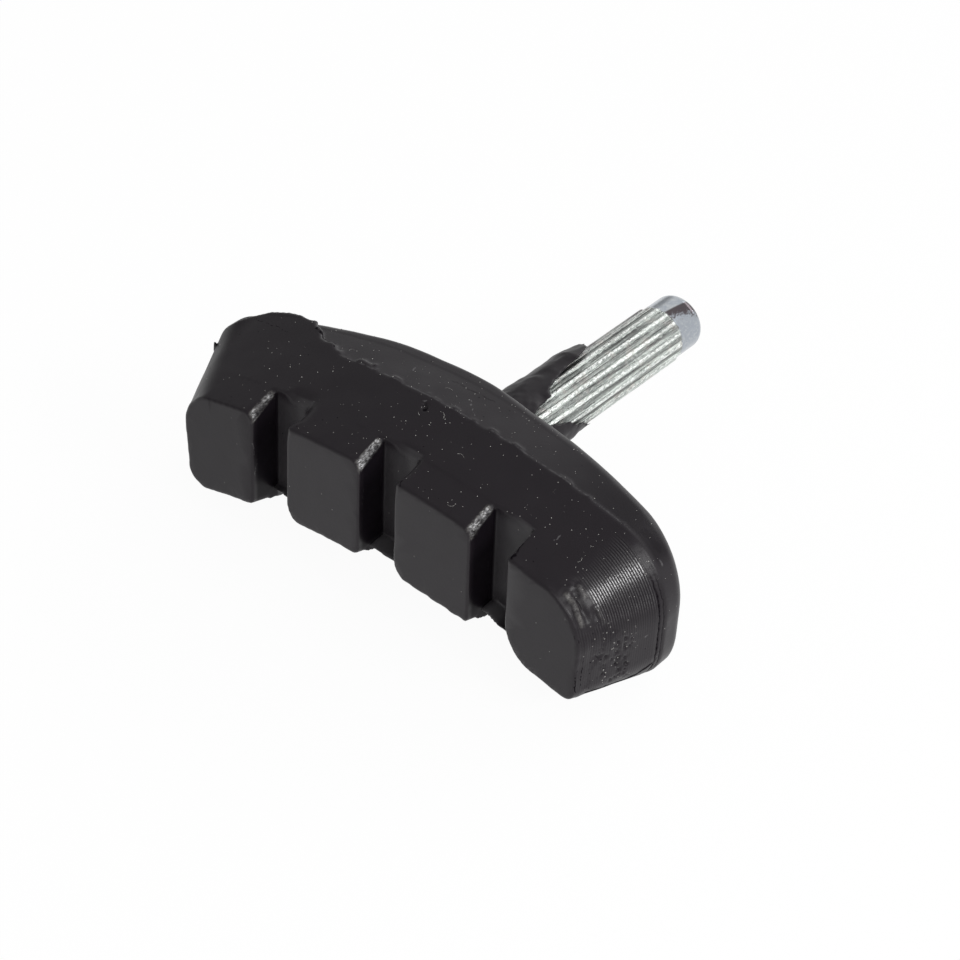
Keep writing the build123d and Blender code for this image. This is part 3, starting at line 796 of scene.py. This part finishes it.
# The plain tip, with a painted highlight down its middle, paler etched flecks, and a painted dark reflection
# at one side
# Painted highlight in a band down the tip's middle
tip_highlight = cloud.rise(0.35, 0.65) * abs(across - 0.2).rise(1.4, 0.3)
tip = tip_highlight.larger(etch.rise(0.48, 0.64) * 0.6).mixed(ZINC_TIP, ZINC_TIP_PALE_AND_HIGHLIGHT)
# Painted dark reflection in a band along one side of the tip
dark_reflection = (across - depth * 0.12 + cloud * 0.2).rise(0.6, 0.85)
dark_reflection = dark_reflection * (depth * 0.3 + 2.1 - across + (etch - 0.5) * 3.6).rise(0.0, 0.6)
tip = (dark_reflection * 0.95).mixed(tip, ZINC_PITS_AND_DARK_REFLECTION)
feed(plate, "Base Color", plain.mixed(ridged, tip))
feed(plate, "Roughness", 0.24 + etch * 0.2 - plain * 0.2)
relief = (etch * 0.16 + streaks * 0.08 + threads * 0.05) * (1.0 - plain * 0.9)
bump = place.node("ShaderNodeBump", {}, {"Strength": 0.8, "Distance": MM, "Height": relief})
feed(plate, "Normal", bump)

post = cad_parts["steel_post"]
post.data.materials.clear()
post.data.materials.append(zinc)

# Floor: a plain white table that the part stands on.
# The camera and reflections see it almost evenly white, with a faint shadow.
FLOOR_WHITE = (0.94, 0.94, 0.94, 1)
FLOOR_HALF = 3.0
FLOOR_DROP = 0.00002
SEEN_WHITE = 0.95

floor_z = cad_box[0].z - FLOOR_DROP
sheet = bpy.data.meshes.new("table_top")
corners = [(x * FLOOR_HALF, y * FLOOR_HALF, floor_z) for x, y in ((-1, -1), (1, -1), (1, 1), (-1, 1))]
sheet.from_pydata(corners, [], [(0, 1, 2, 3)])
table = bpy.data.objects.new("table_top", sheet)
bpy.context.scene.collection.objects.link(table)
paint = bpy.data.materials.new("table_white")
paint.use_nodes = True
paint.cycles.emission_sampling = "NONE"
paint.node_tree.nodes.clear()
start = Finish(paint.node_tree)
rays = [start.node("ShaderNodeLightPath", {}, {}, name)
        for name in ("Is Camera Ray", "Is Glossy Ray", "Is Transmission Ray")]
seen = rays[0].larger(rays[1]).larger(rays[2]) * SEEN_WHITE
chalk = start.node("ShaderNodeBsdfDiffuse", {}, {"Color": FLOOR_WHITE})
glow = start.node("ShaderNodeEmission", {}, {"Color": (1, 1, 1, 1), "Strength": 1.0})
both = start.node("ShaderNodeMixShader", {}, {0: seen, 1: chalk, 2: glow})
start.node("ShaderNodeOutputMaterial", {}, {"Surface": both})
sheet.materials.append(paint)

# Studio: a room that is white at the back and grey in front, overhead and at the far left.
# Three soft boxes stand round the table, and the camera sees the room as plain white.
ROOM_BACK = (1.0, 1.0, 1.0, 1)
ROOM_FRONT = (0.45, 0.45, 0.45, 1)
ROOM_LEVEL = 0.98
AIM = Vector((0.0, -0.037, 0.0))
SOFT_BOXES = (("soft_box_right", (0.85, 0.06, 0.52), 0.8, (0.35, 0.22), 2.9),
              ("soft_box_back", (0.1, 0.88, 0.46), 0.9, (0.5, 0.3), 1.5),
              ("soft_box_front", (0.62, -0.52, 0.6), 1.0, (0.5, 0.5), 2.3))

room = bpy.data.worlds.new("studio_room")
bpy.context.scene.world = room
room.use_nodes = True
room.node_tree.nodes.clear()
start = Finish(room.node_tree)
way = start.node("ShaderNodeTexCoord", {}, {}, "Generated")
to_right, to_back = axes(way)[:2]
tone = (to_back.rise(0.38, 0.58) * to_right.rise(-0.74, -0.56)).mixed(ROOM_FRONT, ROOM_BACK)
sky = start.node("ShaderNodeBackground", {}, {"Color": tone, "Strength": ROOM_LEVEL})
clear = start.node("ShaderNodeBackground", {}, {"Color": (1, 1, 1, 1), "Strength": 1.0})
straight = start.node("ShaderNodeLightPath", {}, {}, "Is Camera Ray")
both = start.node("ShaderNodeMixShader", {}, {0: straight, 1: sky, 2: clear})
start.node("ShaderNodeOutputWorld", {}, {"Surface": both})

for name, toward, reach, (width, length), power in SOFT_BOXES:
    lamp = bpy.data.lights.new(name, "AREA")
    lamp.shape = "RECTANGLE"
    lamp.size = width
    lamp.size_y = length
    lamp.energy = power
    stand = bpy.data.objects.new(name, lamp)
    outward = Vector(toward).normalized()
    stand.location = AIM + outward * reach
    stand.rotation_euler = outward.to_track_quat("Z", "Y").to_euler()
    bpy.context.scene.collection.objects.link(stand)

# Camera: a long lens that looks down on the friction face and the right end of the pad.
# Its place was fitted to points measured in the photo.
TURN = math.radians(38.887)
RAISE = math.radians(38.497)
TILT = math.radians(2.336)
LOOK_AT = Vector((0.005748, -0.039925, 0.004448))
STAND_OFF = 0.379162
LENS_MM = 135
SENSOR_MM = 36
NEAREST = 0.01

back = Vector((math.sin(TURN) * math.cos(RAISE), -math.cos(TURN) * math.cos(RAISE), math.sin(RAISE)))
right = Vector((math.cos(TURN), math.sin(TURN), 0))
upward = back.cross(right)
side = right * math.cos(TILT) + upward * math.sin(TILT)
top = upward * math.cos(TILT) - right * math.sin(TILT)
lens = bpy.data.cameras.new("camera")
lens.lens = LENS_MM
lens.sensor_width = SENSOR_MM
lens.clip_start = NEAREST
camera = bpy.data.objects.new("camera", lens)
turned = Matrix((side, top, back)).transposed().to_4x4()
camera.matrix_world = Matrix.Translation(LOOK_AT + back * STAND_OFF) @ turned
bpy.context.scene.collection.objects.link(camera)
bpy.context.scene.camera = camera
bpy.context.scene.view_settings.view_transform = "Standard"
